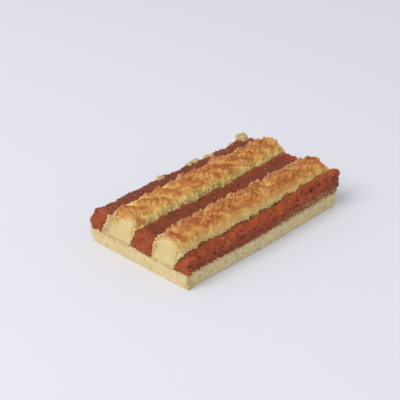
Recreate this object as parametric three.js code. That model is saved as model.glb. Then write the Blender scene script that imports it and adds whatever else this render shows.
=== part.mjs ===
// Striped slab cake: a pale base carries jam strips and browned piped bars along its whole length.
// Millimetres, +X along the stripes, +Y to the far long side, +Z up, underside at Z = 0.
import * as THREE from 'three';

// Driving dimensions
const LENGTH = 160; // cut end to cut end, along the underside
const BASE_HEIGHT = 11;
const JAM_HEIGHT = 14.5; // jam above the base, at its fullest
const BAR_HEIGHT = 23; // bars above the base
const BAR_FOOT = 11; // where a bar's flanks start, above the base
const SEAM = 0.4; // clearance between pieces
const RIGHT_LEAN = 1.2; // how far the right end of the base leans out
const NEAR_BELLY = 1.2; // how far the near long side swells out halfway along
const FAR_TUCK = 4.5; // how far the far side of the base is tucked in at the underside

// Walls between the strips, from the near long side to the far one.
// y is the place on the base, lean the shift towards the near side up to the jam's top,
// wave the unevenness along the length.
const WALLS = [
  { y: 0, lean: -0.6, wave: 0.5 },
  { y: 13, lean: 6, wave: 0.9 },
  { y: 33, lean: 2.2, wave: 0.9 },
  { y: 56, lean: 5, wave: 0.9 },
  { y: 83.5, lean: 6.5, wave: 0.9 },
  { y: 96.6, lean: 3.2, wave: 0.5 },
];
const FAR_WALL = WALLS.length - 1;
const LOBE_LENGTH = 7.5; // spacing of the lobes along a wall

// Relief of the bars
const FOLD_LENGTH = 16; // spacing of the folds along a bar
const FOLD_SLANT = 1.1; // folds that a slanting crease passes on its way across
const FOLD_WANDER = 0.45; // unevenness of the spacing, in folds
const FOLD_FACE = 0.3; // share of a fold that its steep left face takes up
const FOLD_DEPTH = 4;
const FOLD_LEVEL = 0.38; // share of the fold depth that lies below the bar's mean top
const CRAG_LENGTH = 5; // spacing of the crags along a bar
const CRAG_ROWS = 4; // rows of crags across a bar
const CRAG_HEIGHT = 0.9;
const LIP_HEIGHT = 1.4; // torn lips along both upper edges
const NEAR_SHOULDER = 3; // squareness of a bar's section on the near side
const FAR_SHOULDER = 2.5; // and on the far side
const SINK_START = 0.3; // share of the length where a bar that sags at the left starts to rise
const SINK_END = 0.5;
const EDGE_CRUMBLE = 2; // how much of a bar's upper edge has crumbled off at the left end
const CORNER_CRUMBLE = 4.5; // and how much more at its far corner

// Relief of the jam
const LUMP_LENGTH = 8; // spacing of the lumps along a strip
const LUMP_ROWS = 2; // rows of lumps across a strip
const LUMP_HEIGHT = 1.6;
const NEAR_EDGE_POWER = 2; // how gently the top falls to the near side
const FAR_EDGE_POWER = 6; // how sharply it rounds off at the far side
const SWELL_START = 0.56; // share of the length where jam starts to swell against the bar beyond it
const SWELL_END = 0.74;
const CORNER_START = 0.82; // share of the length where its near edge starts to rise to the right end

const END_ROUND = 7; // length over which a strip's edges round off towards its cut ends

// Colours and roughness
const CRUMB = { color: 0xdcc893, roughness: 0.9 };
const JELLY = { color: 0x94442f, roughness: 0.45 };
const CRUST = { color: 0xc9944f, roughness: 0.85 };

// Mesh steps
const LENGTH_STEPS = 72;
const BAR_STEPS = 14;
const JAM_STEPS = 9;
const BASE_STEPS = 5;

const { clamp, lerp, smoothstep } = THREE.MathUtils;

// Repeatable random number from 0 to 1 for a lattice point
function lattice(seed, i, j) {
  const s = Math.sin(i * 127.1 + j * 311.7 + seed * 74.7) * 43758.5453;
  return s - Math.floor(s);
}

// Smooth noise from -1 to 1
function noise(seed, u, v = 0) {
  const i = Math.floor(u);
  const j = Math.floor(v);
  const a = smoothstep(u - i, 0, 1);
  const b = smoothstep(v - j, 0, 1);
  const low = lerp(lattice(seed, i, j), lattice(seed, i + 1, j), a);
  const high = lerp(lattice(seed, i, j + 1), lattice(seed, i + 1, j + 1), a);
  return 2 * lerp(low, high, b) - 1;
}

// Height above the base as a share of the jam's height, from 0 to 1
function jamShare(z) {
  return clamp((z - BASE_HEIGHT) / JAM_HEIGHT, 0, 1);
}

// Place of wall number index at length x and height z
function wallY(index, x, z) {
  const wall = WALLS[index];
  const belly = index === 0 ? NEAR_BELLY * Math.sin((Math.PI * x) / LENGTH) : 0;
  return wall.y - belly - wall.lean * jamShare(z) + wall.wave * noise(index, x / LOBE_LENGTH);
}

// How close a share of the length is to the left end: 1 at the end, 0 from END_ROUND on
function leftness(u) {
  return clamp(1 - (u * LENGTH) / END_ROUND, 0, 1) ** 2;
}

// Share of the full top height that is left close to the cut ends
function endShare(u, drop) {
  return 1 - drop * Math.max(leftness(u), leftness(1 - u));
}

// Top of a jam strip: lumpy, lower along an outer edge, swollen and risen on the right
function jamTop(strip, u, across) {
  const lumps = LUMP_HEIGHT * noise(strip.seed, (u * LENGTH) / LUMP_LENGTH, across * LUMP_ROWS);
  const nearEdge = strip.nearDrop * (1 - across) ** NEAR_EDGE_POWER;
  const farEdge = strip.farDrop * across ** FAR_EDGE_POWER;
  const swell = strip.swell * smoothstep(u, SWELL_START, SWELL_END) * across;
  const corner = strip.corner * smoothstep(u, CORNER_START, 1) * (1 - across);
  const height = strip.height + lumps - nearEdge - farEdge + swell + corner;
  return BASE_HEIGHT + height * endShare(u, strip.endDrop);
}

// Slanting folds that overlap like tiles: each rises in a steep face and then falls slowly
function foldRelief(seed, along, across) {
  const wander = FOLD_WANDER * noise(seed, along, across);
  const place = along + across * FOLD_SLANT + wander;
  const share = place - Math.floor(place);
  return FOLD_DEPTH * (smoothstep(share, 0, FOLD_FACE) * (1 - share) - FOLD_LEVEL);
}

// Top of a bar: steep sides, a broad top with folds, crags and torn lips
function barTop(strip, u, across) {
  const x = u * LENGTH;
  const side = Math.abs(2 * across - 1);
  const power = across < 0.5 ? NEAR_SHOULDER : FAR_SHOULDER;
  const section = (1 - side ** power) ** (1 / power);
  const folds = foldRelief(strip.seed, x / FOLD_LENGTH, across);
  const crags = CRAG_HEIGHT * noise(strip.seed + 2, x / CRAG_LENGTH, across * CRAG_ROWS);
  const lips = LIP_HEIGHT * side * noise(strip.seed + 1, x / CRAG_LENGTH, Math.round(across));
  const sink = strip.leftSink * (1 - smoothstep(u, SINK_START, SINK_END));
  const height = BAR_FOOT + (BAR_HEIGHT - BAR_FOOT - sink + folds + crags + lips) * section;
  const crumbled = (EDGE_CRUMBLE + CORNER_CRUMBLE * across) * leftness(u);
  return BASE_HEIGHT + (height - crumbled) * endShare(u, strip.endDrop);
}

// Ring of one strip's section, as [share across, height] pairs
function stripRing(strip, u) {
  const bottom = BASE_HEIGHT + SEAM;
  const top = [];
  for (let k = strip.steps; k >= 0; k -= 1) {
    const across = (1 - Math.cos((Math.PI * k) / strip.steps)) / 2;
    top.push([across, strip.top(strip, u, across)]);
  }
  const farMiddle = (bottom + top[0][1]) / 2;
  const nearMiddle = (bottom + top[strip.steps][1]) / 2;
  return [[0, bottom], [1, bottom], [1, farMiddle], ...top, [0, nearMiddle]];
}

// Section of a strip at share u of its length, between its two walls
function stripSection(strip, u) {
  return stripRing(strip, u).map(([across, z]) => {
    const left = strip.leftBack * jamShare(z);
    const right = LENGTH + lerp(RIGHT_LEAN, strip.rightLean, jamShare(z));
    const x = lerp(left, right, u);
    const near = wallY(strip.wall, x, z) + strip.slump * leftness(u) * jamShare(z) + SEAM / 2;
    const far = wallY(strip.wall + 1, x, z) - SEAM / 2;
    return new THREE.Vector3(x, lerp(near, far, across), z);
  });
}

// Section of the base at share u of its length: up the far side, then down the near side
function baseSection(u) {
  const levels = Array.from({ length: BASE_STEPS + 1 }, (_, k) => k / BASE_STEPS);
  const farSide = levels.map((share) => [FAR_WALL, share]);
  const nearSide = levels.map((share) => [0, 1 - share]);
  return [...farSide, ...nearSide].map(([wall, share]) => {
    const x = u * (LENGTH + RIGHT_LEAN * share);
    const tuck = wall === FAR_WALL ? FAR_TUCK * (1 - share) ** 2 : 0;
    return new THREE.Vector3(x, wallY(wall, x, BASE_HEIGHT) - tuck, BASE_HEIGHT * share);
  });
}

// Middle of a ring of points
function middleOf(ring) {
  const sum = ring.reduce((total, point) => total.add(point), new THREE.Vector3());
  return sum.divideScalar(ring.length);
}

// Closed body through a row of sections, each a ring with the same turning sense.
// Each end is a fan of triangles round the middle of its ring.
function loft(sectionAt) {
  const rings = [];
  for (let i = 0; i <= LENGTH_STEPS; i += 1) {
    rings.push(sectionAt(i / LENGTH_STEPS));
  }
  const count = rings[0].length;
  const end = LENGTH_STEPS * count;
  const leftMiddle = end + count;
  const rightMiddle = leftMiddle + 1;
  const faces = [];
  for (let k = 0; k < count; k += 1) {
    const next = (k + 1) % count;
    for (let i = 0; i < LENGTH_STEPS; i += 1) {
      const a = i * count + k;
      const b = i * count + next;
      faces.push(a, b, a + count, b, b + count, a + count);
    }
    faces.push(leftMiddle, next, k);
    faces.push(rightMiddle, end + k, end + next);
  }
  const points = [...rings.flat(), middleOf(rings[0]), middleOf(rings[LENGTH_STEPS])];
  const geometry = new THREE.BufferGeometry().setFromPoints(points);
  geometry.setIndex(faces);
  geometry.computeVertexNormals();
  return geometry;
}

// One named piece
function piece(name, sectionAt, look) {
  const material = new THREE.MeshStandardMaterial({ ...look, metalness: 0 });
  const mesh = new THREE.Mesh(loft(sectionAt), material);
  mesh.name = name;
  return mesh;
}

// Strips from near to far. leftBack and rightLean tilt the cut ends at the jam's top, slump draws in
// the near left corner, the drops round off the edges and ends, swell and corner raise the right.
const JAM = { top: jamTop, steps: JAM_STEPS, look: JELLY, nearDrop: 0, farDrop: 0, swell: 0, corner: 0 };
const BAR = { top: barTop, steps: BAR_STEPS, look: CRUST, leftSink: 0, endDrop: 0.06 };
const CUT = { leftBack: 0, rightLean: 2.5, slump: 0 };
const STRIPS = {
  jam_near: {
    ...JAM, seed: 11, height: 12.2, nearDrop: 3.4, swell: 3.5, corner: 8, endDrop: 0.12,
    leftBack: 4, rightLean: 5.5, slump: 3,
  },
  bar_near: { ...BAR, ...CUT, seed: 23, rightLean: 0.5 },
  jam_middle: { ...JAM, ...CUT, seed: 37, height: 13.6, swell: 3.2, endDrop: 0.04, leftBack: 0.6 },
  bar_far: { ...BAR, ...CUT, seed: 41, leftSink: 1.8 },
  jam_far: {
    ...JAM, ...CUT, seed: 59, height: 14.5, farDrop: 1.2, corner: 3, endDrop: 0.15,
    leftBack: 0.6, rightLean: 5,
  },
};

const cake = new THREE.Group();
cake.add(piece('base', baseSection, CRUMB));
Object.entries(STRIPS).forEach(([name, strip], wall) => {
  cake.add(piece(name, (u) => stripSection({ ...strip, wall }, u), strip.look));
});

// The whole is centred over the origin
const middle = new THREE.Box3().setFromObject(cake).getCenter(new THREE.Vector3());
for (const mesh of cake.children) {
  mesh.geometry.translate(-middle.x, -middle.y, 0);
}

export default cake;
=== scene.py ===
# %% [markdown]
# # A jam striped slab cake
# A slab from a baking tray: a pale base, three strips of red jam, and between them two piped bars that
# the oven has browned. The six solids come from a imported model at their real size. This lesson gives
# each of them its crust, pulp or crumb, then adds what lies loose on them. Blender works in metres here,
# so a length is a number times MM.

# %% Load the solids
import math

import bmesh
import bpy
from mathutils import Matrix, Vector


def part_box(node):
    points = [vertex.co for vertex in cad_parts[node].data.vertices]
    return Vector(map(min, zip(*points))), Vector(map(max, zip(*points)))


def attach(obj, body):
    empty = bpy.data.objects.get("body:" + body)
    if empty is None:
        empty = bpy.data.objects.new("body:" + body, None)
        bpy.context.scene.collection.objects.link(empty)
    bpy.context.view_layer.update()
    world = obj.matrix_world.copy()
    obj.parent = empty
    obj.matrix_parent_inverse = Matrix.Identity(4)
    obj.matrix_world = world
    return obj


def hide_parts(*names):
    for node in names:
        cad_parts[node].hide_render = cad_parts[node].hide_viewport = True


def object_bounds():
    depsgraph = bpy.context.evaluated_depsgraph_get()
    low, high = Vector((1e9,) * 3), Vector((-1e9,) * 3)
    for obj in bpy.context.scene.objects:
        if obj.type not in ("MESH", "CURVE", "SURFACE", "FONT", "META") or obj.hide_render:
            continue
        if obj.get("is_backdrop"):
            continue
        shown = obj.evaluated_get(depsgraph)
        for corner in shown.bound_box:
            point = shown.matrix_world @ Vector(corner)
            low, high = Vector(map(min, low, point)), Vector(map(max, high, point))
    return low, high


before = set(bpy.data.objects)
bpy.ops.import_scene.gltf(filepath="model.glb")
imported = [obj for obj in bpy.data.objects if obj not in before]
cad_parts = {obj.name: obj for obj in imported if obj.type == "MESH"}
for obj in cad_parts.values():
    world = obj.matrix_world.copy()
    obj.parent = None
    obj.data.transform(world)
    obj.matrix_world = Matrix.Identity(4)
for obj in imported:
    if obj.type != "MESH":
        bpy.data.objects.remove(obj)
CAD_LOW, CAD_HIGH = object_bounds()
MM = 0.001
scene = bpy.context.scene
print("size of the cake in mm:", [round(side / MM, 1) for side in CAD_HIGH - CAD_LOW])

# %% [markdown]
# ## Camera
# The cake is seen from its left front corner, about 29 degrees down, through a long lens that keeps the
# long edges nearly parallel. A camera can be dragged into place, but an aim point, two angles and a
# distance say the same thing, are easy to read back, and will do for the lamp too. The Standard view
# takes the place of Blender's default, AgX, whose curve would grey the pale crumb.

# %% Aim at the cake
AIM = Vector((-9.3, 10.1, 17.4)) * MM


def aimed(data, azimuth, elevation, distance):
    """Object for a camera or lamp, turned to the aim point. Azimuth 0 faces the near long side."""
    turn = math.radians(azimuth)
    rise = math.radians(elevation)
    way = Vector((math.sin(turn) * math.cos(rise), -math.cos(turn) * math.cos(rise), math.sin(rise)))
    thing = bpy.data.objects.new(data.name, data)
    thing.location = AIM + way * distance
    thing.rotation_euler = (AIM - thing.location).to_track_quat("-Z", "Y").to_euler()
    scene.collection.objects.link(thing)
    print(data.name, "at", [round(value, 3) for value in thing.location])
    return thing


print("aim point in mm:", [round(value / MM, 1) for value in AIM])

# %% Place the camera
CAMERA_AZIMUTH = -46.48
CAMERA_ELEVATION = 28.87
CAMERA_DISTANCE = 805 * MM
CAMERA_LENS = 99

lens = bpy.data.cameras.new("camera")
lens.lens = CAMERA_LENS
scene.camera = aimed(lens, CAMERA_AZIMUTH, CAMERA_ELEVATION, CAMERA_DISTANCE)
scene.view_settings.view_transform = "Standard"

# %% [markdown]
# ## Formulas made of nodes
# Relief and colour both come from node trees. Nodes can be added by hand in the editor, or one by one in
# a script, which takes many lines. Here a small class wraps an output of a node. Adding or multiplying
# two wrapped outputs puts the matching Math node in the tree, so a formula reads like the rule it stands
# for.

# %% Colour codes


def hex_colour(code):
    """Linear colour with alpha for a colour written as in a paint program, such as e4d08c."""
    parts = [int(code[i:i + 2], 16) / 255 for i in (0, 2, 4)]
    linear = [part / 12.92 if part <= 0.04045 else ((part + 0.055) / 1.055) ** 2.4 for part in parts]
    return (*linear, 1.0)


print("the code e4d08c is", [round(part, 2) for part in hex_colour("e4d08c")])

# %% A wire from a node


class Wire:
    """One output of a node. Sums and products of wires add Math nodes to the same tree."""

    def __init__(self, tree, socket):
        self.tree = tree
        self.socket = socket

    def __add__(self, other):
        return calc("ADD", self, other)

    def __sub__(self, other):
        return calc("SUBTRACT", self, other)

    def __rsub__(self, other):
        return calc("SUBTRACT", other, self)

    def __mul__(self, other):
        return calc("MULTIPLY", self, other)

    def __truediv__(self, other):
        return calc("DIVIDE", self, other)

    def __rtruediv__(self, other):
        return calc("DIVIDE", other, self)

    __radd__ = __add__
    __rmul__ = __mul__

    def also(self, name):
        """Another output of the same node."""
        return Wire(self.tree, self.socket.node.outputs[name])


print("wires take + - * and /")

# %% Adding a node


def put(tree, kind, inputs=(), out=0, **settings):
    """Adds one node, fills its inputs with wires, plain values or colour codes, and gives one output."""
    node = tree.nodes.new(kind)
    for name, value in settings.items():
        setattr(node, name, value)
    for key, value in dict(inputs).items():
        socket = node.inputs[key]
        if isinstance(value, Wire):
            tree.links.new(value.socket, socket)
        elif socket.type == "RGBA" and isinstance(value, str):
            socket.default_value = hex_colour(value)
        elif socket.type == "VECTOR" and isinstance(value, (int, float)):
            socket.default_value = (value, value, value)
        else:
            socket.default_value = value
    return Wire(tree, node.outputs[out])


print("put adds any node")

# %% Adding a Math node


def tree_of(values):
    """Tree of the first wire among some values."""
    return next(value.tree for value in values if isinstance(value, Wire))


def is_vector(value):
    """Whether a value has three parts, as a place or a colour does."""
    if isinstance(value, Wire):
        return value.socket.type in ("VECTOR", "RGBA")
    return isinstance(value, tuple)


def calc(operation, *values):
    """A Math node, or a Vector Math node where one of the values is a vector."""
    kind = "ShaderNodeVectorMath" if any(map(is_vector, values)) else "ShaderNodeMath"
    out = "Value" if operation == "DOT_PRODUCT" or kind == "ShaderNodeMath" else "Vector"
    return put(tree_of(values), kind, dict(enumerate(values)), out, operation=operation)


print("calc adds a Math node")

# %% Common fields


def split(vector):
    """The three parts of a vector."""
    parts = put(vector.tree, "ShaderNodeSeparateXYZ", {0: vector})
    return parts, parts.also("Y"), parts.also("Z")


def join(*parts):
    """Vector made of three parts."""
    return put(tree_of(parts), "ShaderNodeCombineXYZ", dict(enumerate(parts)))


def span(value, low, high):
    """Smooth step from 0 to 1 while the value goes from low to high, which may be the smaller one."""
    ends = {"Value": value, "From Min": low, "From Max": high}
    return put(value.tree, "ShaderNodeMapRange", ends, interpolation_type="SMOOTHSTEP")


def noise(spot, size, seed, detail=2.0, out="Fac"):
    """Soft random field of about -1 to 1, with lumps of the given size."""
    inputs = {"Vector": spot, "W": seed, "Scale": 1 / size, "Detail": detail}
    return put(spot.tree, "ShaderNodeTexNoise", inputs, out, noise_dimensions="4D") * 4 - 2


def patchy(spot, size, seed, contrast, detail=2.0):
    """Share around a half that comes and goes in patches of the given size."""
    return noise(spot, size, seed, detail) * contrast + 0.5


print("fields: span for soft steps, noise and patchy for chance")

# %% [markdown]
# ## Floor
# A plain pale floor, so much larger than the cake that its edge never shows. The stock plane would do,
# but a mesh of four corners is as short. Its paint varies a touch, because one flat colour looks like
# cut paper.

# %% Paint for the floor
CLOUD_SIZE = 2.0


def new_material(name, roughness, specular):
    """New material, its shader, and the object coordinates that its patterns lie on."""
    material = bpy.data.materials.new(name)
    material.use_nodes = True
    shader = material.node_tree.nodes["Principled BSDF"]
    shader.inputs["Roughness"].default_value = roughness
    shader.inputs["Specular IOR Level"].default_value = specular
    where = put(material.node_tree, "ShaderNodeTexCoord", out="Object")
    return material, shader, where


def feed(wire, shader, name):
    """Leads a wire into one of the shader's sockets."""
    wire.tree.links.new(wire.socket, shader.inputs[name])


def blend(share, first, second):
    """Colour that goes from the first to the second as the share goes from 0 to 1."""
    return put(share.tree, "ShaderNodeMix", {0: share, 6: first, 7: second}, 2, data_type="RGBA")


floor_paint, shader, where = new_material("floor_paint", roughness=0.9, specular=0.1)
cloudy = patchy(where, CLOUD_SIZE, seed=3, contrast=0.25)
feed(blend(cloudy, "dfe0e6", "e1e2e8"), shader, "Base Color")
print("floor paint has", len(where.tree.nodes), "nodes")

# %% Lay the floor
FLOOR_SIDE = 8.0

half = FLOOR_SIDE / 2
corners = [(-half, -half, 0), (half, -half, 0), (half, half, 0), (-half, half, 0)]
floor_mesh = bpy.data.meshes.new("floor")
floor_mesh.from_pydata(corners, [], [(0, 1, 2, 3)])
floor_mesh.materials.append(floor_paint)
floor = bpy.data.objects.new("floor", floor_mesh)
scene.collection.objects.link(floor)
floor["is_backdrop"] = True
print("floor is", FLOOR_SIDE, "m wide")

# %% [markdown]
# ## Light
# Soft studio light. One large lamp stands on the left, because the cut ends on that side are the
# brightest faces, and a pale sky fills the rest, so the shadow to the right stays faint. Several small
# lamps could do the same, but each would leave a shadow of its own.

# %% Lamp
LAMP_AZIMUTH = -100
LAMP_ELEVATION = 50
LAMP_DISTANCE = 2.4
LAMP_SIDE = 1.6
LAMP_POWER = 35

panel = bpy.data.lights.new("lamp", "AREA")
panel.size = LAMP_SIDE
panel.energy = LAMP_POWER
aimed(panel, LAMP_AZIMUTH, LAMP_ELEVATION, LAMP_DISTANCE)

# %% Sky
SKY_STRENGTH = 0.66

sky = bpy.data.worlds.new("sky")
sky.use_nodes = True
background = sky.node_tree.nodes["Background"]
background.inputs["Color"].default_value = hex_colour("fafaff")
background.inputs["Strength"].default_value = SKY_STRENGTH
scene.world = sky
print("sky strength", SKY_STRENGTH)

# %% [markdown]
# ## From solid to fine skin
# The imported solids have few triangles, and uneven ones. Subdividing would keep their uneven sizes, so a
# copy of each solid is merged and remeshed with voxels instead, which gives an even skin of small
# squares that relief can move. A geometry node tree follows in the same stack, and the result is kept as
# a plain mesh.

# %% Copy of a solid
MERGE_DISTANCE = 0.001 * MM


def copy_of(node, name):
    """New object with a merged copy of a node's mesh."""
    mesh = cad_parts[node].data.copy()
    mesh.materials.clear()
    work = bmesh.new()
    work.from_mesh(mesh)
    bmesh.ops.remove_doubles(work, verts=work.verts, dist=MERGE_DISTANCE)
    work.to_mesh(mesh)
    work.free()
    piece = bpy.data.objects.new(name, mesh)
    scene.collection.objects.link(piece)
    return piece


bars = {node: copy_of(node, node + "_crust") for node in ("bar_near", "bar_far")}
jams = {node: copy_of(node, node + "_strip") for node in ("jam_near", "jam_middle", "jam_far")}
base = copy_of("base", "base_crumb")
print("merged copies:", [piece.name for piece in (*bars.values(), *jams.values(), base)])

# %% Start of a tree


def new_tree(name, sizes):
    """Geometry node tree with a mesh going in and out and one named number for each size."""
    tree = bpy.data.node_groups.new(name, "GeometryNodeTree")
    tree.interface.new_socket("Geometry", in_out="INPUT", socket_type="NodeSocketGeometry")
    for label, value in sizes.items():
        socket = tree.interface.new_socket(label, in_out="INPUT", socket_type="NodeSocketFloat")
        socket.default_value = value
    tree.interface.new_socket("Geometry", in_out="OUTPUT", socket_type="NodeSocketGeometry")
    start = tree.nodes.new("NodeGroupInput")
    return tree, {socket.name: Wire(tree, socket) for socket in start.outputs if socket.name}


print("new_tree gives a tree and its inputs")

# %% End of a tree


def end_tree(geometry, material):
    """Closes a tree: instances become mesh, the faces shade smoothly and get their material."""
    tree = geometry.tree
    real = put(tree, "GeometryNodeRealizeInstances", {0: geometry})
    smooth = put(tree, "GeometryNodeSetShadeSmooth", {0: real})
    painted = put(tree, "GeometryNodeSetMaterial", {0: smooth, "Material": material})
    tree.links.new(painted.socket, tree.nodes.new("NodeGroupOutput").inputs[0])
    print(tree.name, "has", len(tree.nodes), "nodes")


def keep(geometry, **fields):
    """Stores fields on the points under their names, for materials and scatter trees to read."""
    for name, value in fields.items():
        inputs = {"Geometry": geometry, "Name": name, "Value": value}
        geometry = put(geometry.tree, "GeometryNodeStoreNamedAttribute", inputs)
    return geometry


print("end_tree closes a tree")

# %% Plain mesh from a tree


def dress(piece, tree, voxel=None, **sizes):
    """Runs a node tree on a piece, after a remesh if a voxel size is given, and keeps a plain mesh."""
    if voxel:
        skin = piece.modifiers.new("even skin", "REMESH")
        skin.mode = "VOXEL"
        skin.voxel_size = voxel
    relief = piece.modifiers.new("relief", "NODES")
    relief.node_group = tree
    sockets = {item.name: item.identifier for item in tree.interface.items_tree if item.in_out == "INPUT"}
    for name, value in sizes.items():
        relief[sockets[name.replace("_", " ").title()]] = value
    graph = bpy.context.evaluated_depsgraph_get()
    mesh = bpy.data.meshes.new_from_object(piece.evaluated_get(graph), depsgraph=graph)
    piece.modifiers.clear()
    piece.data = mesh
    print(piece.name, "has", sum(len(face.vertices) - 2 for face in mesh.polygons), "triangles")


def hand_over(piece, node=None):
    """The piece goes with the cake's one body, and may stand for a solid, which is then hidden."""
    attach(piece, "root")
    if node:
        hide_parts(node)


print("dress makes a mesh, hand_over gives it to the frame")

# %% [markdown]
# ## Crust of the bars
# The oven has browned the bars unevenly: golden brown on the raised flakes, yellow down the flanks, and
# pale at the thin tips of the far edge, which also carry a painted highlight where they turn towards the
# lamp. A picture could be painted on, but it would stretch over the relief.
# Instead the relief will store how brown each point is, and a colour ramp turns that number into crust.
# Light goes a little way into baked paste, so some subsurface scattering keeps it from looking like
# plaster.

# %% Colour from stored numbers


def stored(tree, name):
    """Number that the relief has stored on the mesh under this name."""
    return put(tree, "ShaderNodeAttribute", out="Fac", attribute_name=name)


def ramp(share, stops):
    """Colour ramp through (place, colour code) stops."""
    colour = put(share.tree, "ShaderNodeValToRGB", {0: share})
    elements = colour.socket.node.color_ramp.elements
    for i, (place, code) in enumerate(stops):
        element = elements[i] if i < 2 else elements.new(place)
        element.position = place
        element.color = hex_colour(code)
    return colour


def tint(colour, name, code, share=1.0):
    """Colour that goes to another, by a share at most, where the relief has stored a number."""
    return blend(stored(colour.tree, name) * share, colour, code)


def soften(shader, weight, radius):
    """Lets light travel a little way under the surface, red light furthest."""
    shader.inputs["Subsurface Weight"].default_value = weight
    shader.inputs["Subsurface Radius"].default_value = (1.0, 0.5, 0.25)
    shader.inputs["Subsurface Scale"].default_value = radius


print("colour helpers ready")

# %% Browned skin
BROWNING = [(0.0, "efe0a6"), (0.12, "e6cd84"), (0.28, "dbb465"), (0.46, "d2a35a"), (0.64, "c88d49"),
            (0.82, "b9743a"), (1.0, "a35c2c")]

crust, shader, where = new_material("browned_crust", roughness=0.62, specular=0.25)
tree = where.tree
soften(shader, weight=0.3, radius=2.5 * MM)
speckle = noise(where, 1.4 * MM, seed=5, detail=3.0) * 0.07
skin = ramp(stored(tree, "browning") + speckle, BROWNING)
skin = tint(skin, "foot", BROWNING[0][1], share=0.4)
# Pale tips of the far edge, partly thin dry paste and partly painted highlight.
skin = tint(skin, "fringe", "e9c9a4", share=0.35)
print("crust browns from", BROWNING[0][1], "to", BROWNING[-1][1])

# %% [markdown]
# ## Paste where the bars are cut
# The knife has opened both ends of a bar. They show pale paste with faint upright streaks of the blade,
# toasted under the crust and along the line where the bar was baked onto the base, and broken into loose
# crumb on the far side, with painted shade in the gaps between the crumbs. It is the same material as the
# crust, so that one blend, by how freshly cut a point is, joins the two without a seam. A bump adds the
# grain that is finer than the mesh.

# %% Cut paste
STREAK_STRETCH = (0.3, 1.0, 0.16)


def bump(height, distance, strength):
    """Normal for relief that is finer than the mesh."""
    inputs = {"Height": height, "Distance": distance, "Strength": strength}
    return put(height.tree, "ShaderNodeBump", inputs)


streaks = patchy(where * STREAK_STRETCH, 0.7 * MM, seed=6, contrast=0.35)
paste = blend(streaks, "ccb271", "e7d5a1")
toasted = stored(tree, "rind") * (noise(where, 2.0 * MM, seed=8) * 0.5 + 0.65)
paste = blend(toasted, paste, "d0a05a")
loose = blend(patchy(where, 1.2 * MM, seed=9, contrast=0.5), "e6d3a6", "c89f64")
paste = blend(stored(tree, "crumbly"), paste, loose)
# Painted shade: the gaps between loose crumbs are darkened.
paste = tint(paste, "gap", "94622f", share=0.7)
paste = tint(paste, "scorch", "bd853f", share=0.7)
feed(blend(stored(tree, "cut"), skin, paste), shader, "Base Color")
feed(bump(noise(where, 0.8 * MM, seed=7, detail=3.0), distance=0.25 * MM, strength=0.4), shader, "Normal")
print("crust and paste have", len(tree.nodes), "nodes")

# %% [markdown]
# ## Zones of a bar
# A bar has a browned top, soft flanks and two cut ends, and each zone gets its own relief. The zones
# could be masked with a brush. Here each point is sorted by its height and by the way it faces, so the
# masks fit both bars. Foot is the height where a flank comes out of the jam, and Crest the height where
# its top is reached. What faces along the bar close to its end is cut, and a noise lets that border
# wander, because crust breaks unevenly. Far Corner and Near Corner let the paste reach further up at
# that corner of the cut.

# %% Sizes of the bar relief
BASE_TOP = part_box("base")[1].z
BAR_TOP = max(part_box(node)[1].z for node in bars)

bar_relief, size = new_tree("bar relief", {
    "Near Side": -1.0, "Far Side": 1.0, "Foot": 23 * MM, "Crest": 33 * MM, "Ceiling": BAR_TOP,
    "Bend Size": 6 * MM, "Bend Reach": 1.8 * MM, "Ledge Step": 8 * MM, "Ledge Height": 1.6 * MM,
    "Shard Length": 5.5 * MM, "Shard Width": 3.4 * MM, "Shard Height": 0.75 * MM,
    "Tooth Width": 2.6 * MM, "Tooth Height": 2.8 * MM, "Spike Width": 7 * MM, "Spike Height": 2.2 * MM,
    "Rib Width": 12 * MM, "Rib Depth": 1.2 * MM, "Lump Width": 2.8 * MM, "Lump Depth": 0.42 * MM,
    "Grain Size": 1.4 * MM, "Grain Depth": 0.17 * MM, "Seam": 0.25 * MM,
    "Cut Depth": 6 * MM, "Rind Depth": 3.6 * MM, "Margin Width": 4 * MM, "Crumb Size": 1.8 * MM,
    "Crumb Depth": 0.45 * MM, "Far Corner": 0.0, "Near Corner": 0.0,
    "Flank Gold": 0.2, "Pale Height": 3 * MM, "Far Bake": 0.06, "End Reach": 16 * MM,
    "End Bake": 0.5, "Pale End": 10 * MM, "Patch Size": 8 * MM, "Seed": 1.0})
print("bar relief takes", len(size) - 1, "numbers")

# %% Top, flanks and cut ends
CORNER_PULL = 0.35


def here(tree):
    """Place and facing of each point."""
    return put(tree, "GeometryNodeInputPosition"), put(tree, "GeometryNodeInputNormal")


def from_cut_end(x):
    """Distance to the nearer of the two ends of the cake."""
    return calc("MINIMUM", x - CAD_LOW.x, CAD_HIGH.x - x)


place, facing = here(bar_relief)
x, y, z = split(place)
nx, ny, nz = split(facing)
seed = size["Seed"]
across = span(y, size["Near Side"], size["Far Side"])
from_end = from_cut_end(x)
inland = span(from_end, 3 * MM, 9 * MM)
wander = noise(place, 1.6 * MM, seed + 9) * 0.12
pale_corner = size["Far Corner"] * across + size["Near Corner"] * (1 - across)
cut = span(calc("ABSOLUTE", nx) + wander + pale_corner * CORNER_PULL, 0.8, 0.92)
cut = cut * span(from_end, size["Cut Depth"], size["Cut Depth"] * 0.75)
top = span(z, size["Foot"] + 4 * MM, size["Crest"] - 1 * MM) * (1 - cut)
flank = span(calc("ABSOLUTE", ny), 0.25, 0.7) * span(z, size["Foot"] - 3 * MM, size["Foot"]) * (1 - cut)
print("zones take", len(bar_relief.nodes), "nodes")

# %% [markdown]
# ## Ledges and shards
# Piped paste folds over itself like tiles, tears into chips and bakes hard, so a bar's top is all ledges
# and shards. It could be sculpted, but a rule covers a whole bar at once. A saw wave across slanting
# lines makes the ledges, and a Voronoi texture whose cells are tipped by their random colours makes the
# shards. A noise bends the lines first, so that none of them runs straight.

# %% Folded top
CREASE_TURN = math.radians(40)
LIP_SHARE = 0.16
LEDGE_MIDDLE = 0.42
OVERHANG_SHARE = 0.5
SHARD_STEP = 0.45


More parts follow.
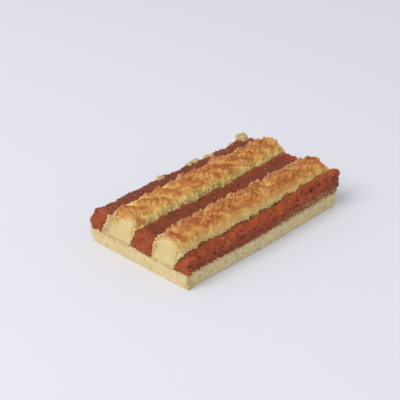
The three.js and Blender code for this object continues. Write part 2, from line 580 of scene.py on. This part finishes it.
def shards(spot, seed):
    """How high each point lies on its own tipped shard of a patchwork."""
    shifted = spot + join(seed * 3.7, seed * 1.9, 0.0)
    colour = put(spot.tree, "ShaderNodeTexVoronoi", {"Vector": shifted, "Scale": 1.0}, "Color",
                 voronoi_dimensions="2D")
    lean = (colour * 2 - 1) * (1.0, 1.0, 0.0)
    height = calc("DOT_PRODUCT", shifted - colour.also("Position"), lean)
    step = split(colour)[2] * 2 - 1
    return height + step * SHARD_STEP


bent = place + noise(place, size["Bend Size"], seed, 2.0, "Color") * size["Bend Reach"]
bent_x, bent_y = split(bent)[:2]
along = bent_x * math.cos(CREASE_TURN) - bent_y * math.sin(CREASE_TURN)
over = bent_x * math.sin(CREASE_TURN) + bent_y * math.cos(CREASE_TURN)
drift = noise(place, 9 * MM, seed + 1) * 0.6
fold = calc("FRACT", over / size["Ledge Step"] + drift + seed)
ledge = span(fold, 0.0, LIP_SHARE) * (1 - fold) - LEDGE_MIDDLE
shard = shards(join(along / size["Shard Length"], over / size["Shard Width"], 0.0), seed)
overhang = join(ledge * -OVERHANG_SHARE, 0.0, 0.0) * (top * inland * size["Ledge Height"])
print("with the folded top,", len(bar_relief.nodes), "nodes")

# %% [markdown]
# ## Teeth on the far edge
# Along the far edge the crust has lifted into small teeth and a few taller spikes, which stand out
# against the jam behind them. Loose chips could be set there one by one, but raising the edge itself
# leaves no seam. A noise that is drawn out from edge to flank decides where a tooth stands.

# %% Lifted edge
TOOTH_STRETCH = (1.0, 0.4, 0.4)
EDGE_SINK = 0.4

far_edge = span(ny, 0.15, 0.5) * top
drawn_out = place * TOOTH_STRETCH
tooth = span(noise(drawn_out, size["Tooth Width"], seed + 6), -0.2, 0.7) * far_edge
spike = span(noise(drawn_out, size["Spike Width"], seed + 11), 0.3, 0.9) * far_edge
rise = top * ledge * size["Ledge Height"] + (tooth - far_edge * EDGE_SINK) * size["Tooth Height"]
rise = rise + spike * size["Spike Height"]
print("with the lifted edge,", len(bar_relief.nodes), "nodes")

# %% [markdown]
# ## Ribs of the flanks
# Below the crust the soft paste has slumped into upright ribs with shallow hollows between. A plain
# noise has hills and hollows alike. One minus its absolute value turns the lines where it crosses zero
# into narrow crests, and leaves round hollows between them. Stretched down the flank, by a scale below
# one on two axes, the crests are ribs. A smaller size makes lumps, and a fine grain goes over all.

# %% Slumped flanks
FOLD_DEPTH = 2.2
RIB_STRETCH = (1.0, 0.4, 0.35)


def crests(spot, width, seed):
    """Narrow crests of height 1 with round hollows between them, down to about -1."""
    return 1 - calc("ABSOLUTE", noise(spot, width, seed, detail=1.0)) * FOLD_DEPTH


ribs = crests(place * RIB_STRETCH, size["Rib Width"], seed + 3) * size["Rib Depth"] * flank
lumps = crests(place, size["Lump Width"], seed + 4) * size["Lump Depth"] * flank
grain = noise(place, size["Grain Size"], seed + 5, 3.0) * size["Grain Depth"]
print("with the flanks,", len(bar_relief.nodes), "nodes")

# %% [markdown]
# ## Crumbly rims of the cut ends
# The knife left the middle of each cut end smooth, and its rim toasted and crumbly, most of all on the
# far side. How deep a point lies inside the rim could be painted. Here the mesh without its cut faces is
# kept aside, and the Proximity node measures the distance to it, which follows the bar's true outline.

# %% Rims


def distance_from(geometry, dropped):
    """Distance of each point from what is left of a mesh without its dropped faces."""
    tree = geometry.tree
    rest = put(tree, "GeometryNodeDeleteGeometry", {0: geometry, "Selection": dropped}, domain="FACE")
    return put(tree, "GeometryNodeProximity", {0: rest}, "Distance", target_element="FACES")


def from_far_wall(geometry, ny):
    """Distance of each point from the faces that look to the far side."""
    return distance_from(geometry, span(ny, 0.6, 0.5))


inside = distance_from(size["Geometry"], cut) + noise(place, 2.2 * MM, seed + 7) * (0.5 * MM)
rind = 1 - span(inside, 0.2 * MM, size["Rind Depth"])
from_far = from_far_wall(size["Geometry"], ny) + noise(place, 3 * MM, seed + 12) * (1.2 * MM)
crumbly = cut * span(from_far, size["Margin Width"], size["Margin Width"] * 0.4)
margin = calc("MAXIMUM", cut * rind, (1 - cut) * span(from_end, 4 * MM, 1.5 * MM))
margin = calc("MAXIMUM", margin, crumbly)
crumbs = crests(place, size["Crumb Size"], seed + 10)
outcrop = crumbs * size["Crumb Depth"] * (margin + crumbly)
print("with the rims,", len(bar_relief.nodes), "nodes")

# %% [markdown]
# ## How brown each point is
# Heat browns what lies high and faces up, and it browns the lip of a ledge before its hollow. The far
# side of a crest and the ends of a bar are darker, and the right end turns pale again. Faces turned
# towards the lamp on the left are made paler, as a painted highlight. Vertex colours could be painted by
# hand, but a sum of what the relief already knows follows along when a size changes.

# %% Browning
CREST_BAKE = 0.3
UPWARD_BAKE = 0.34
FAR_END_BAKE = 0.2
LEDGE_TONE = 0.32
SHARD_TONE = 0.1
STREAK_TONE = 0.05
PATCH_TONE = 0.25
SHELTER_TONE = 0.12

golden = span(z, size["Foot"] - 1 * MM, size["Foot"] + 4 * MM) * size["Flank Gold"]
crown = span(z, size["Foot"] + size["Pale Height"], size["Crest"])
baked = golden + crown * (nz * UPWARD_BAKE + CREST_BAKE)
baked = baked + span(ny, -0.3, 0.5) * top * size["Far Bake"]
end_crust = span(from_end, size["End Reach"], size["End Reach"] * 0.5) * span(nz, 0.1, 0.35)
end_crust = end_crust * (across * FAR_END_BAKE + size["End Bake"])
pale_end = span(x, CAD_HIGH.x - size["Pale End"], CAD_HIGH.x - 2 * MM) * (0.85 - top * 0.45)
streak = noise(join(along * 0.25, over, z), 1.5 * MM, seed + 2)
patches = noise(place, size["Patch Size"], seed + 8)
# Painted highlight: faces turned towards the lamp on the left are made paler.
sheltered = span(nx * -1, 0.25, 0.7) * inland
uneven = ledge * LEDGE_TONE + shard * SHARD_TONE + streak * STREAK_TONE
uneven = uneven + patches * PATCH_TONE - sheltered * SHELTER_TONE
browning = (calc("MAXIMUM", baked, end_crust) + uneven * top) * (1 - pale_end)
# Tips of the far edge: pale where thin and dry, plus a painted highlight that grows where they face the
# lamp.
fringe = span(ny, 0.15, 0.5) * top * (span(nx * -1, 0.0, 0.35) * 0.7 + 0.3)
print("with the browning,", len(bar_relief.nodes), "nodes")

# %% [markdown]
# ## Two finished bars
# What the zones know is stored on the mesh, under names that the material and the loose crumbs will
# read. Then each point moves along its facing, up, and a little over its neighbour. The Seam lets the
# skin grow by a hair, which closes the gap to the pieces beside it, and a ceiling keeps the flakes
# within the height of the cake. One tree serves both bars, and the numbers below are all that differs.

# %% Store and move the points


def above_base(z, low, high):
    """Smooth step between two heights over the top of the base."""
    return span(z, BASE_TOP + low, BASE_TOP + high)


outward = ribs + lumps + grain * (1 - cut * 0.5) + outcrop + size["Seam"] * (1 - cut)
outward = outward + top * shard * size["Shard Height"]
moved_x, moved_y, moved_z = split(place + overhang + join(0.0, 0.0, rise) + facing * outward)
moved = join(moved_x, moved_y, calc("MINIMUM", moved_z, size["Ceiling"]))
shape = keep(size["Geometry"], browning=browning, cut=cut, fringe=fringe,
             rind=rind * above_base(z, 6 * MM, 13 * MM),
             crumbly=crumbly * above_base(z, 1.5 * MM, 4 * MM),
             gap=span(crumbs, 0.3, -0.7) * crumbly,
             scorch=above_base(z, 3 * MM, 0.4 * MM) * span(noise(place, 3 * MM, seed + 13), -0.4, 0.3),
             margin=margin * above_base(z, 2 * MM, 5 * MM),
             foot=flank * span(z, size["Foot"] + 5 * MM, size["Foot"] + 1.5 * MM))
shape = put(bar_relief, "GeometryNodeSetPosition", {"Geometry": shape, "Position": moved})
end_tree(shape, crust)

# %% Dress the bars
BAR_VOXEL = 0.5 * MM
BAR_LOOKS = {
    "bar_near": dict(margin_width=2 * MM, far_corner=1.0, near_corner=0.5, pale_height=3.6 * MM, seed=1.0),
    "bar_far": dict(margin_width=6 * MM, near_corner=1.0, flank_gold=0.13, pale_height=5 * MM,
                    far_bake=0.2, end_bake=0.7, pale_end=16 * MM, seed=11.0)}

for node, bar in bars.items():
    low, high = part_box(node)
    dress(bar, bar_relief, BAR_VOXEL, near_side=low.y, far_side=high.y, **BAR_LOOKS[node])
    hand_over(bar, node)

# %% [markdown]
# ## Jam
# Set jam is pulp in jelly: lumpy, a little translucent, moist but not glassy. It is brick red where it
# is cut or moist, darker and duller on the baked strips, and browned where fat from the paste has soaked
# in. The valleys between the pulp and the pressed-in tears are painted darker, as painted shade. A glass
# shader would make it jelly without fruit. A rough body under a thin glossy coat gives pulp that is moist
# on top.

# %% Body of the jam
jam, shader, where = new_material("set_jam", roughness=0.45, specular=0.12)
tree = where.tree
shader.inputs["Coat Weight"].default_value = 0.4
shader.inputs["Coat Roughness"].default_value = 0.12
soften(shader, weight=0.25, radius=2.0 * MM)
mottle = patchy(where, 5 * MM, seed=21, contrast=0.4, detail=3.0)
clear = span(noise(where, 7 * MM, seed=25), 0.2, 0.9) * 0.45
moist = blend(clear, blend(mottle, "8f3a1a", "ad4c22"), "c26728")
body = blend(stored(tree, "dull"), moist, blend(mottle, "642813", "833618"))
body = blend(stored(tree, "cut"), body, blend(mottle, "8f3b14", "a64a1a"))
print("jam body has", len(tree.nodes), "nodes")

# %% Pulp, stains and gloss
pulp = patchy(where, 1.3 * MM, seed=22, contrast=0.4, detail=3.0)
body = blend(pulp * 0.3, body, "b45a2a")
# Painted shade in the valleys between the pulp and in the tears.
body = tint(body, "valley", "4e1e10", share=0.5)
body = tint(body, "hollow", "5c2614")
body = tint(body, "soaked", "9a5228")
smear = span(noise(where, 0.7 * MM, seed=24, detail=3.0) + stored(tree, "smear") * 1.6, 1.2, 1.8)
body = blend(smear * 0.7, body, "b08c58")
feed(body, shader, "Base Color")
gloss = bump(noise(where, 1.1 * MM, seed=23, detail=3.0), distance=0.3 * MM, strength=0.8)
feed(gloss, shader, "Normal")
feed(gloss, shader, "Coat Normal")
print("jam has", len(tree.nodes), "nodes")

# %% [markdown]
# ## Worn edges of the jam
# Jam slumps: the strips are rounded along their tops and most of all at their ends, and only the knife
# along the near side has left a crisp edge. A bevel would round all edges alike. Blurring the points'
# places rounds each zone by its own weight, so one tree serves the crisp strip and the slumped ones.
# What is cut has to be stored first, because it is told from the way the faces look before they are
# blurred.

# %% Sizes of the jam relief
jam_relief, size = new_tree("jam relief", {
    "Wear": 1.0, "End Wear": 1.0, "Lump Width": 6 * MM, "Lump Depth": 0.8 * MM, "End Lumps": 1.3,
    "Pulp Width": 3.4 * MM, "Pulp Depth": 0.4 * MM, "Fibre Width": 1.6 * MM, "Fibre Depth": 0.26 * MM,
    "Tear Width": 3.2 * MM, "Tear Depth": 0.0, "End Swell": 0.5 * MM, "Seam": 0.25 * MM,
    "Dull": 1.0, "Soaked": 1.0, "Smear": 0.0, "Seed": 1.0})
print("jam relief takes", len(size) - 1, "numbers")

# %% Slumped strips
WEAR_PASSES = 30


def kept(tree, name):
    """Number stored earlier in the same tree, or by the relief that a mesh has been through."""
    return put(tree, "GeometryNodeInputNamedAttribute", {"Name": name}, "Attribute")


def worn(geometry, place, weight):
    """Wears edges round by averaging each point with its neighbours, many times over."""
    inputs = {"Value": place, "Iterations": WEAR_PASSES, "Weight": weight}
    soft = put(geometry.tree, "GeometryNodeBlurAttribute", inputs, data_type="FLOAT_VECTOR")
    return put(geometry.tree, "GeometryNodeSetPosition", {"Geometry": geometry, "Position": soft})


place, facing = here(jam_relief)
x, _, z = split(place)
nx, ny, nz = split(facing)
seed = size["Seed"]
from_end = from_cut_end(x)
at_end = span(from_end, 10 * MM, 5 * MM)
upper = above_base(z, 3 * MM, 7 * MM)
above = above_base(z, 0.5 * MM, 3 * MM)
wander = noise(place, 2.5 * MM, seed + 5) * 0.15
cut = span(calc("ABSOLUTE", nx) + wander, 0.6, 0.85) * span(from_end, 8 * MM, 6 * MM)
shape = keep(size["Geometry"], cut=cut)
cut = kept(jam_relief, "cut")
weight = calc("MAXIMUM", upper * size["Wear"] * 0.5, above * at_end * size["End Wear"])
shape = worn(shape, place, weight)
print("slumped strips take", len(jam_relief.nodes), "nodes")

# %% [markdown]
# ## Pulp and tears
# Up close the jam is all fruit: soft ridges of pulp with hollows between, and finer fibres over them.
# The same folded noise as on the flanks makes both, and the hollows are painted darker, as painted shade.
# On the near strip the knife has also dragged small tears out just below the top edge, and they are
# painted darker too, as painted shade. They could be cut with booleans, but pressing the points in
# where a noise says so is far lighter.

# %% Fruit
TEAR_STRETCH = (0.6, 1.0, 1.0)

near_face = span(ny * -1, 0.3, 0.7)
below_top = distance_from(size["Geometry"], span(nz, 0.6, 0.5))
bent = place + noise(place, 4 * MM, seed, 2.0, "Color") * (0.8 * MM)
lumps = noise(place, size["Lump Width"], seed + 1) * size["Lump Depth"] * (at_end * size["End Lumps"] + 1)
pulp = crests(bent, size["Pulp Width"], seed + 2)
fibres = crests(bent, size["Fibre Width"], seed + 3)
# Painted shade for the hollows between the pulp.
valley = span(pulp + fibres * 0.5, 0.2, -1.0)
tear = near_face * span(below_top, 0.5 * MM, 1.6 * MM) * span(below_top, 5 * MM, 2.5 * MM)
tear = tear * span(noise(place * TEAR_STRETCH, size["Tear Width"], seed + 4), 0.0, 0.8)
fruit = pulp * size["Pulp Depth"] + fibres * size["Fibre Depth"]
outward = lumps + fruit * (1 - cut * 0.5) + at_end * above * size["End Swell"]
outward = outward + size["Seam"] * (1 - cut) - tear * size["Tear Depth"]
print("with the fruit,", len(jam_relief.nodes), "nodes")

# %% [markdown]
# ## Where jam is dull, soaked or smeared
# Fat from the paste has browned a narrow band of jam at the foot of the bar behind it. The middle and
# far strips have baked dull, but stay moist near their ends. The lower half of the cut near face is made
# duller and darker as painted shade, below its lit top, and the knife has dragged crumb up over it, more
# of it towards the right. These are stains and painted shade without depth, so they are stored as
# numbers for the material. Three more masks say where loose bits will lie: along the seam with the base,
# on top, and on the outer edge.

# %% Store the stains and move the points
to_right = span(x, -40 * MM, 60 * MM)
wander = noise(place, 4 * MM, seed + 7) * (1.5 * MM)
left_end = span(x + wander, CAD_LOW.x + 10 * MM, CAD_LOW.x + 5 * MM)
right_end = span(x + wander, CAD_HIGH.x - 16 * MM, CAD_HIGH.x - 7 * MM)
from_far = from_far_wall(size["Geometry"], ny) + noise(place, 4 * MM, seed + 6) * (1.2 * MM)
soaked = span(from_far, 3.5 * MM, 0.8 * MM) * span(nz, 0.4, 0.7) * size["Soaked"]
foot = near_face * above_base(z, 1.8 * MM, 0.6 * MM) * 0.7
# Painted shade: the lower part of the near face is made duller.
low_face = near_face * span(below_top, 2 * MM, 5 * MM)
dull = calc("MAXIMUM", size["Dull"] * (1 - (left_end + right_end) * 0.7), low_face * 0.6)
smear = near_face * above_base(z, 3 * MM + to_right * (9 * MM), 0.8 * MM) * (to_right * 0.6 + 0.25)
# The pulp valleys and the tears are stored as painted shade.
shape = keep(shape, dull=dull, soaked=calc("MAXIMUM", soaked, foot),
             valley=valley * above * (1 - cut * 0.6),
             hollow=tear * span(size["Tear Depth"], 0.0, 1 * MM) * 0.7,
             smear=smear * size["Smear"],
             seam=near_face * above_base(z, 2.2 * MM, 0.8 * MM) * size["Smear"],
             top=span(nz, 0.5, 0.8) * upper * (1 - cut),
             edge=span(ny, 0.15, 0.5) * span(nz, 0.15, 0.5) * upper)
shape = put(jam_relief, "GeometryNodeSetPosition", {"Geometry": shape, "Offset": facing * outward})
end_tree(shape, jam)

# %% Dress the strips
JAM_VOXEL = 0.55 * MM
JAM_LOOKS = {
    "jam_near": dict(wear=0.15, end_wear=0.15, lump_depth=0.5 * MM, end_lumps=0.3, pulp_depth=0.57 * MM,
                     tear_depth=1.6 * MM, dull=0.0, smear=1.0, seed=3.0),
    "jam_middle": dict(seed=13.0),
    "jam_far": dict(soaked=0.0, seed=23.0)}

for node, strip in jams.items():
    dress(strip, jam_relief, JAM_VOXEL, **JAM_LOOKS[node])
    hand_over(strip, node)

# %% [markdown]
# ## Base
# The base is pale baked crumb. The knife left its short ends smooth and tore its long sides, so pores
# and rough grain show there. Its top is hidden. Two materials could meet at the edges, but one that
# holds both finishes, and blends them by how torn a point is, leaves no hard line.

# %% Crumb of the base
crumb, shader, where = new_material("pale_crumb", roughness=0.8, specular=0.15)
tree = where.tree
soften(shader, weight=0.15, radius=1.5 * MM)
mottle = patchy(where, 4 * MM, seed=31, contrast=0.5, detail=3.0)
surface = blend(stored(tree, "torn"), blend(mottle, "d3b982", "ebd9a7"), blend(mottle, "dec892", "f4e6b8"))
surface = tint(surface, "scratch", "b7a070", share=0.1)
surface = tint(surface, "stain", "b07a3c", share=0.6)
# Painted shade in the pores; on loose crumbs the same number is a random browner tone.
surface = tint(surface, "pit", "b0914f", share=0.8)
feed(surface, shader, "Base Color")
feed(bump(noise(where, 0.8 * MM, seed=32, detail=4.0), distance=0.3 * MM, strength=0.7), shader, "Normal")
print("crumb has", len(tree.nodes), "nodes")

# %% [markdown]
# ## Torn sides of the base
# Pores in crumb are round holes of like size, far apart. Cutting hundreds of them would be slow, so the
# cells of a Voronoi texture serve as pores: about half are chosen by their random colour, and each is
# pressed in round its middle and painted darker, as painted shade. Towards the left the blade has drawn
# fine upright scratches. The top of the base rises by a hair under the strips, which closes the seam
# between them.

# %% Pores, grain and scratches
SCRATCH_STRETCH = (1.0, 1.0, 0.15)

base_relief, size = new_tree("base relief", {
    "Pit Size": 1.9 * MM, "Pit Depth": 0.9 * MM, "Crumble Size": 5 * MM, "Crumble Depth": 0.35 * MM,
    "Grain Size": 1.5 * MM, "Grain Depth": 0.5 * MM, "Scratch Width": 1.0 * MM, "Scratch Depth": 0.3 * MM,
    "Seam": 0.25 * MM, "Seed": 1.0})
place, facing = here(base_relief)
x, y, z = split(place)
nx, ny, nz = split(facing)
seed = size["Seed"]
torn = span(calc("ABSOLUTE", ny), 0.5, 0.8)
cut = span(calc("ABSOLUTE", nx), 0.5, 0.8)
bent = place + noise(place, 2.5 * MM, seed, 2.0, "Color") * (0.6 * MM)
hole = put(base_relief, "ShaderNodeTexVoronoi", {"Vector": bent, "Scale": 1 / size["Pit Size"]})
pit = span(hole, 0.42, 0.12) * span(split(hole.also("Color"))[0], 0.45, 0.55)
grain = noise(place, size["Grain Size"], seed + 1, 3.0) * size["Grain Depth"]
crumble = noise(place, size["Crumble Size"], seed + 2) * size["Crumble Depth"]
to_left = span(x, 10 * MM, -50 * MM)
scratch = noise(place * SCRATCH_STRETCH, size["Scratch Width"], seed + 4) * to_left
outward = grain + crumble + scratch * size["Scratch Depth"] - pit * size["Pit Depth"]
print("torn sides take", len(base_relief.nodes), "nodes")

# %% [markdown]
# ## Stains and crumb on the base
# Jam and fat have seeped into the upper edge of the base, in patches, and the long sides also grow darker
# towards the right. A brush could dab that on, but heights and noises place it on every side at once. The
# same cell stores where crumbs will lie: on the torn sides above the floor, and round the left front
# corner, which is browner.

# %% Stained edges
above_floor = span(z, 0.2 * MM, 1.2 * MM)
under_jam = above_base(z, -2.2 * MM, -0.5 * MM) * (noise(place, 5 * MM, seed + 5) * 0.4 + 0.45)
# The long sides grow darker towards the right.
stain = (under_jam + span(x, 0.0, CAD_HIGH.x) * 0.2) * torn
rim = above_base(z, -2 * MM, -0.2 * MM) * span(noise(place, 4 * MM, seed + 6), -0.6, 0.3) * cut
patch = span(noise(place, 9 * MM, seed + 3), -0.2, 0.3) * 0.7 + 0.3
at_left = span(x, CAD_LOW.x + 7 * MM, CAD_LOW.x + 1.5 * MM)
at_front = span(y, CAD_LOW.y + 4 * MM, CAD_LOW.y + 1.5 * MM)
corner = at_left * at_front * calc("MAXIMUM", torn, cut) * above_floor
shape = keep(size["Geometry"], torn=torn, pit=pit * torn, stain=stain + rim + corner * 0.35,
             scratch=span(scratch, 0.7, -0.3) * torn * to_left,
             loose=torn * span(z, 0.8 * MM, 3 * MM) * patch,
             corner=corner)
outward = outward * (torn + cut * 0.3) * above_floor + size["Seam"] * span(nz, 0.5, 0.8)
shape = put(base_relief, "GeometryNodeSetPosition", {"Geometry": shape, "Offset": facing * outward})
end_tree(shape, crumb)

# %% Dress the base
BASE_VOXEL = 0.65 * MM

dress(base, base_relief, BASE_VOXEL, seed=2.0)
hand_over(base, "base")

# %% [markdown]
# ## Lumps, flakes and crumbs
# Much of the cake's roughness is loose: lumps at the feet of the bars, flakes along their far edges,
# crumbs wherever the knife went. Placing them by hand would take hours, and particles are lost when the
# cake is exported. Each kind follows a rule instead. The relief has stored where the kind may lie, a
# tree draws points there, and a small dented ball is set on each, drawn out and flattened where it is a
# flake.

# %% Dented balls
# Dents are measured in radii of the ball
DENT_WIDTH = 1.1
DENT_DEPTH = 0.28


def chance(low, high, seed):
    """Random number for each point."""
    inputs = {2: low, 3: high, "Seed": seed}
    return put(seed.tree, "FunctionNodeRandomValue", inputs, 1, data_type="FLOAT")


def dented_balls(points, size, rounds):
    """Sets a dented ball of random size and turn on each point, with more faces for more rounds."""
    tree = points.tree
    seed = size["Seed"]
    ball = put(tree, "GeometryNodeMeshIcoSphere", {"Radius": 1.0, "Subdivisions": rounds})
    spot = put(tree, "GeometryNodeInputPosition")
    dents = noise(spot, DENT_WIDTH, seed + 4.0, 1.0, "Color") * DENT_DEPTH
    ball = put(tree, "GeometryNodeSetPosition", {"Geometry": ball, "Offset": dents})
    scale = chance(size["Smallest"], size["Largest"], seed + 2)
    scale = join(scale * size["Thickness"], scale * chance(0.6, 1.0, seed + 3), scale * size["Length"])
    turn = join(*(chance(-1.0, 1.0, seed + i) * size["Tilt"] for i in (4, 5, 6)))
    turn = put(tree, "FunctionNodeEulerToRotation", {0: turn})
    turn = put(tree, "FunctionNodeRotateRotation", {0: points.also("Rotation"), 1: turn},
               rotation_space="LOCAL")
    brown = chance(0.0, size["Brownest"], seed + 1)
    # A random share of the pale tip and its painted highlight.
    placed = keep(points, browning=brown, pit=brown, fringe=chance(0.0, size["Palest Tip"], seed + 7))
    inputs = {"Points": placed, "Instance": ball, "Rotation": turn, "Scale": scale}
    return put(tree, "GeometryNodeInstanceOnPoints", inputs)


print("dented balls ready")

# %% Scatter tree
BALL_SIZES = {"Smallest": 0.4 * MM, "Largest": 1.0 * MM, "Thickness": 1.0, "Length": 0.7, "Tilt": 1.0,
              "Brownest": 0.25, "Palest Tip": 0.0, "Seed": 1.0}


def scatter_tree(name, material, mask):
    """Tree that sets dented balls where a mask is stored on a mesh, and leaves the mesh itself out."""
    tree, size = new_tree(name, {"Density": 20000.0, **BALL_SIZES})
    density = size["Density"] * span(kept(tree, mask), 0.1, 0.9)
    points = put(tree, "GeometryNodeDistributePointsOnFaces", {
        "Mesh": size["Geometry"], "Density": density, "Seed": size["Seed"]}, "Points")
    end_tree(dented_balls(points, size, 1), material)
    return tree


print("a loose ball is up to", BALL_SIZES["Largest"] / MM, "mm in radius unless told otherwise")

# %% One lot on one carrier


def lot_on(carrier, tree, **sizes):
    """What a scatter tree sets on one carrier, as an object of its own."""
    lot = bpy.data.objects.new("lot_on_" + carrier.name, carrier.data.copy())
    scene.collection.objects.link(lot)
    dress(lot, tree, **sizes)
    return lot


print("lot_on scatters over one mesh")

# %% One piece for each kind
FINISHES = {"crust": crust, "jam": jam, "crumb": crumb}


def joined(name, lots, material):
    """New object that holds the meshes of several lots, in place of those lots."""
    mesh = bpy.data.meshes.new(name)
    work = bmesh.new()
    for lot in lots:
        work.from_mesh(lot.data)
    for face in work.faces:
        face.material_index = 0
    work.to_mesh(mesh)
    work.free()
    mesh.materials.append(material)
    for lot in lots:
        bpy.data.objects.remove(lot)
    piece = bpy.data.objects.new(name, mesh)
    scene.collection.objects.link(piece)
    return piece


def scattered(name, carriers, mask, finish, **sizes):
    """One loose kind, scattered over its carriers where their relief has stored the mask."""
    material = FINISHES[finish]
    tree = scatter_tree(name, material, mask)
    lots = [lot_on(carrier, tree, **sizes) for carrier in carriers]
    hand_over(joined(name, lots, material))


print("scattered makes one piece for each kind")

# %% [markdown]
# ## Loose on the bars
# Pale lumps have slid down to the feet of the bars, and crumbs cling to the rims of the cut ends,
# browner ones on the far margin. The flakes of the far edge are the same dented balls, drawn out and
# thin, some of them pale, which is partly a painted highlight like that on the tips they sit on.

# %% Scatter on the bars
scattered("foot_lumps", bars.values(), "foot", "crust", density=220000.0, smallest=0.5 * MM,
          largest=1.6 * MM, length=0.5, brownest=0.16, seed=2.0)
scattered("end_crumbs", bars.values(), "margin", "crust", density=380000.0, smallest=0.3 * MM,
          largest=0.9 * MM, seed=3.0)
scattered("margin_crumbs", bars.values(), "crumbly", "crust", density=600000.0, smallest=0.35 * MM,
          brownest=0.7, seed=11.0)
scattered("edge_flakes", bars.values(), "fringe", "crust", density=140000.0, smallest=0.6 * MM,
          largest=1.2 * MM, thickness=0.4, length=1.2, tilt=0.7, brownest=0.8, palest_tip=1.0, seed=4.0)

# %% [markdown]
# ## Loose on the base and the jam
# Fine crumb sticks to the torn sides and to the left front corner of the base. On the jam it lies
# thickest where the knife has dragged it up from the seam, with a few stray crumbs on top. Bits of the
# jam's own pulp roughen the outer edge of the far strip.

# %% Scatter on the base and the jam
near_strip = [jams["jam_near"]]
far_strip = [jams["jam_far"]]

scattered("side_crumbs", [base], "loose", "crumb", density=350000.0, smallest=0.25 * MM,
          largest=0.8 * MM, seed=5.0)
scattered("corner_crumbs", [base], "corner", "crust", density=900000.0, smallest=0.3 * MM,
          largest=0.8 * MM, brownest=0.45, seed=8.0)
scattered("jam_crumbs", near_strip, "smear", "crumb", density=1100000.0, smallest=0.15 * MM,
          largest=0.42 * MM, seed=6.0)
scattered("seam_crumbs", near_strip, "seam", "crumb", density=600000.0, smallest=0.3 * MM,
          largest=0.8 * MM, seed=7.0)
scattered("stray_crumbs", jams.values(), "top", "crumb", density=8000.0, smallest=0.3 * MM,
          largest=0.6 * MM, brownest=0.6, seed=9.0)
scattered("edge_bits", far_strip, "edge", "jam", density=300000.0, smallest=0.3 * MM,
          largest=0.9 * MM, seed=10.0)

# %% [markdown]
# ## Lumps on the far edge
# Where the cake was cut from its tray, a few heaps of pale crumb still cling to the outer edge of the
# far jam. They sit in five places only, so each heap gets its own lot: balls on those points of the edge
# that lie within reach of its middle, largest in the middle. Balls alone look like popcorn, so a second
# scatter over them adds specks of crumb, which break up their round outlines.

# %% Tree for a heap
EDGE_DEPTH = 4.5 * MM

heap_tree, size = new_tree("edge heap", {
    "Middle": 0.0, "Reach": 4 * MM, "Density": 900000.0, **BALL_SIZES, "Length": 1.15, "Tilt": 0.8,
    "Smallest": 0.5 * MM, "Brownest": 0.4, "Speck Density": 1600000.0, "Smallest Speck": 0.25 * MM,
    "Largest Speck": 0.75 * MM})
place, facing = here(heap_tree)
x, y, z = split(place)
on_edge = span(y, CAD_HIGH.y - EDGE_DEPTH * 2, CAD_HIGH.y - EDGE_DEPTH)
on_edge = on_edge * span(split(facing)[2], 0.35, 0.6) * above_base(z, 10 * MM, 12.5 * MM)
in_reach = span(calc("ABSOLUTE", x - size["Middle"]), size["Reach"], size["Reach"] * 0.4)
points = put(heap_tree, "GeometryNodeDistributePointsOnFaces", {
    "Mesh": size["Geometry"], "Density Max": size["Density"], "Distance Min": size["Largest"] * 0.5,
    "Density Factor": on_edge * in_reach, "Seed": size["Seed"]}, "Points", distribute_method="POISSON")
heaped = dict(size, Largest=size["Largest"] * (in_reach * 0.7 + 0.3),
              Smallest=size["Smallest"] + size["Largest"] * in_reach * 0.3)
lumps = put(heap_tree, "GeometryNodeRealizeInstances", {0: dented_balls(points, heaped, 2)})
print("a heap of bare lumps takes", len(heap_tree.nodes), "nodes")

# %% Specks on the heaps
points = put(heap_tree, "GeometryNodeDistributePointsOnFaces", {
    "Mesh": lumps, "Density": size["Speck Density"], "Seed": size["Seed"]}, "Points")
fine = dict(size, Smallest=size["Smallest Speck"], Largest=size["Largest Speck"])
heap = put(heap_tree, "GeometryNodeJoinGeometry", {0: lumps})
heap_tree.links.new(dented_balls(points, fine, 1).socket, heap.socket.node.inputs[0])
end_tree(heap, crumb)

# %% Five heaps
HEAPS = [dict(middle=-17 * MM, reach=3.5 * MM, largest=2.1 * MM, seed=5.0),
         dict(middle=19 * MM, reach=7 * MM, largest=2.9 * MM, seed=6.0),
         dict(middle=36.5 * MM, reach=3 * MM, largest=1.9 * MM, seed=7.0),
         dict(middle=62 * MM, reach=1.5 * MM, largest=1.5 * MM, seed=8.0),
         dict(middle=74.5 * MM, reach=5 * MM, largest=4 * MM, seed=9.0)]

heaps = [lot_on(jams["jam_far"], heap_tree, **sizes) for sizes in HEAPS]
hand_over(joined("edge_lumps", heaps, crumb))

# %% [markdown]
# ## Last checks
# The dressed cake has to stay inside the box of the solids, apart from a little crumb, so both boxes are
# written down side by side.

# %% Compare the boxes and finish
low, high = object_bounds()
print("grown in mm:", [round(value / MM, 2) for value in CAD_LOW - low],
      [round(value / MM, 2) for value in high - CAD_HIGH])
